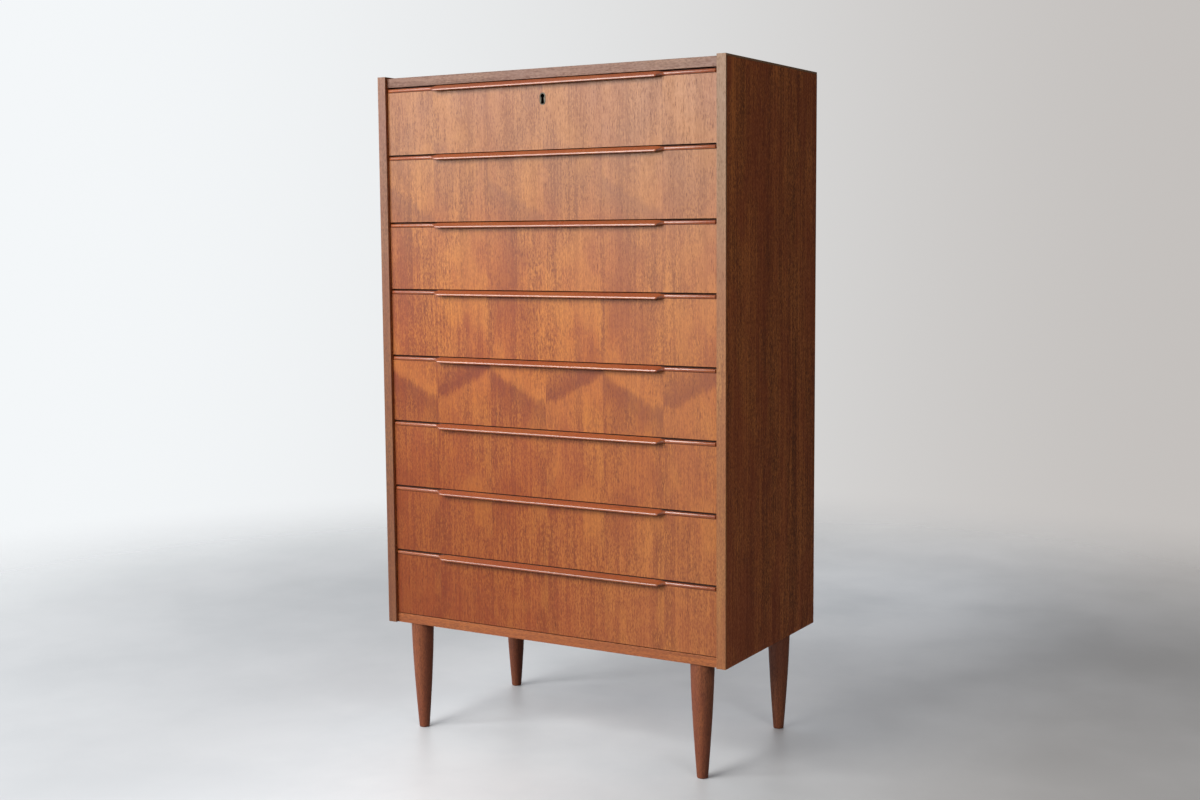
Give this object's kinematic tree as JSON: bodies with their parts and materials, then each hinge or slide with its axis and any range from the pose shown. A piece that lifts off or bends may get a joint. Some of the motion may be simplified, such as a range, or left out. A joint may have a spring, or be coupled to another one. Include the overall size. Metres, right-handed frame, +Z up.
{
  "type": "tall chest of drawers",
  "caption": "Tall chest of full-width teak drawers with projecting wooden lip handles, a lock in the top drawer and turned tapered legs.",
  "frame": {"origin": "on the floor, at the middle of the width and of the depth over the handle lips", "axes": "+Z up; the drawers open towards -Y; +X to the right of someone who faces the drawers"},
  "size_m": [0.755, 0.4065, 1.3],
  "materials": {
    "front_veneer": "satin oiled teak veneer, upright grain in book-matched leaves",
    "handle_teak": "satin oiled solid teak",
    "side_veneer": "satin oiled teak veneer, upright grain",
    "case_veneer": "satin oiled teak veneer, grain across the chest",
    "leg_teak": "satin oiled turned teak",
    "back_plywood": "raw thin plywood",
    "drawer_beech": "lacquered beech",
    "runner_beech": "waxed beech",
    "bottom_plywood": "lacquered thin plywood",
    "lock_steel": "plated steel",
    "escutcheon_nickel": "dull nickel"
  },
  "bodies": {
    "case": {"side_panel_left": "side_veneer", "side_panel_right": "side_veneer", "top_panel": "case_veneer", "bottom_panel": "case_veneer", "back_panel": "back_plywood", "leg_front_left": "leg_teak", "leg_front_right": "leg_teak", "leg_rear_left": "leg_teak", "leg_rear_right": "leg_teak", "runner_1_left": "runner_beech", "runner_1_right": "runner_beech", "runner_2_left": "runner_beech", "runner_2_right": "runner_beech", "runner_3_left": "runner_beech", "runner_3_right": "runner_beech", "runner_4_left": "runner_beech", "runner_4_right": "runner_beech", "runner_5_left": "runner_beech", "runner_5_right": "runner_beech", "runner_6_left": "runner_beech", "runner_6_right": "runner_beech", "runner_7_left": "runner_beech", "runner_7_right": "runner_beech", "runner_8_left": "runner_beech", "runner_8_right": "runner_beech"},
    "drawer_1": {"drawer_1_front": "front_veneer", "drawer_1_handle": "handle_teak", "drawer_1_box": "drawer_beech", "drawer_1_bottom": "bottom_plywood", "lock_case": "lock_steel", "keyhole_escutcheon": "escutcheon_nickel"},
    "drawer_2": {"drawer_2_front": "front_veneer", "drawer_2_handle": "handle_teak", "drawer_2_box": "drawer_beech", "drawer_2_bottom": "bottom_plywood"},
    "drawer_3": {"drawer_3_front": "front_veneer", "drawer_3_handle": "handle_teak", "drawer_3_box": "drawer_beech", "drawer_3_bottom": "bottom_plywood"},
    "drawer_4": {"drawer_4_front": "front_veneer", "drawer_4_handle": "handle_teak", "drawer_4_box": "drawer_beech", "drawer_4_bottom": "bottom_plywood"},
    "drawer_5": {"drawer_5_front": "front_veneer", "drawer_5_handle": "handle_teak", "drawer_5_box": "drawer_beech", "drawer_5_bottom": "bottom_plywood"},
    "drawer_6": {"drawer_6_front": "front_veneer", "drawer_6_handle": "handle_teak", "drawer_6_box": "drawer_beech", "drawer_6_bottom": "bottom_plywood"},
    "drawer_7": {"drawer_7_front": "front_veneer", "drawer_7_handle": "handle_teak", "drawer_7_box": "drawer_beech", "drawer_7_bottom": "bottom_plywood"},
    "drawer_8": {"drawer_8_front": "front_veneer", "drawer_8_handle": "handle_teak", "drawer_8_box": "drawer_beech", "drawer_8_bottom": "bottom_plywood"},
    "lock_bolt": {"lock_bolt": "lock_steel"}
  },
  "joints": [
    {"name": "drawer_1_slide", "type": "slide", "parent": "case", "child": "drawer_1", "axis": [0, -1, 0], "range_m": [0, 0.28]},
    {"name": "drawer_2_slide", "type": "slide", "parent": "case", "child": "drawer_2", "axis": [0, -1, 0], "range_m": [0, 0.28]},
    {"name": "drawer_3_slide", "type": "slide", "parent": "case", "child": "drawer_3", "axis": [0, -1, 0], "range_m": [0, 0.28]},
    {"name": "drawer_4_slide", "type": "slide", "parent": "case", "child": "drawer_4", "axis": [0, -1, 0], "range_m": [0, 0.28]},
    {"name": "drawer_5_slide", "type": "slide", "parent": "case", "child": "drawer_5", "axis": [0, -1, 0], "range_m": [0, 0.28]},
    {"name": "drawer_6_slide", "type": "slide", "parent": "case", "child": "drawer_6", "axis": [0, -1, 0], "range_m": [0, 0.28]},
    {"name": "drawer_7_slide", "type": "slide", "parent": "case", "child": "drawer_7", "axis": [0, -1, 0], "range_m": [0, 0.28]},
    {"name": "drawer_8_slide", "type": "slide", "parent": "case", "child": "drawer_8", "axis": [0, -1, 0], "range_m": [0, 0.28]},
    {"name": "lock_bolt_slide", "type": "slide", "parent": "drawer_1", "child": "lock_bolt", "axis": [0, 0, 1], "range_m": [0, 0.009]}
  ]
}
